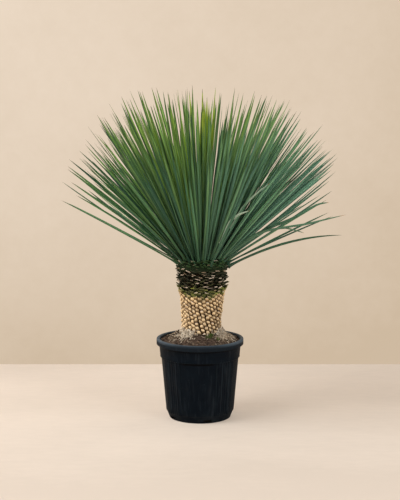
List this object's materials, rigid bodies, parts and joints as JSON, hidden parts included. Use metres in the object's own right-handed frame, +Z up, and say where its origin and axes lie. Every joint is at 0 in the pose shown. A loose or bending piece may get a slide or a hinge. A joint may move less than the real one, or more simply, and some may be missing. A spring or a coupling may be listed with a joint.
{
  "type": "potted yucca",
  "caption": "Trunk-forming yucca with a dome of narrow leaves on a stem armoured with leaf bases, standing in a dark ribbed nursery container.",
  "frame": {"origin": "centre of the container's flat underside", "axes": "+Z up the stem; -Y is the front, with the container's wide panel; +X is to the right"},
  "size_m": [1.0257, 0.9133, 1.2136],
  "materials": {
    "container": "satin",
    "mix": "matte",
    "stem": "matte",
    "leaf": "satin",
    "young_leaf": "satin"
  },
  "bodies": {
    "root": {"pot": "container", "potting_mix": "mix", "stem": "stem", "leaf_row_01": "leaf", "leaf_row_02": "leaf", "leaf_row_03": "leaf", "leaf_row_04": "leaf", "leaf_row_05": "leaf", "leaf_row_06": "leaf", "leaf_row_07": "leaf", "leaf_row_08": "leaf", "leaf_row_09": "leaf", "leaf_row_10": "leaf", "leaf_row_11": "leaf", "leaf_row_12": "leaf", "leaf_row_13": "leaf", "leaf_row_14": "leaf", "leaf_row_15": "leaf", "leaf_row_16": "leaf", "leaf_row_17": "leaf", "leaf_row_18": "leaf", "leaf_row_19": "leaf", "leaf_row_20": "leaf", "leaf_row_21": "leaf", "leaf_row_22": "leaf", "leaf_row_23": "leaf", "leaf_row_24": "leaf", "leaf_row_25": "leaf", "leaf_row_26": "leaf", "leaf_row_27": "leaf", "leaf_row_28": "leaf", "leaf_row_29": "leaf", "leaf_row_30": "leaf", "leaf_row_31": "leaf", "leaf_row_32": "leaf", "leaf_row_33": "leaf", "leaf_row_34": "leaf", "heart_leaves": "young_leaf", "low_leaf_1": "leaf", "low_leaf_2": "leaf", "low_leaf_3": "leaf"}
  },
  "joints": []
}
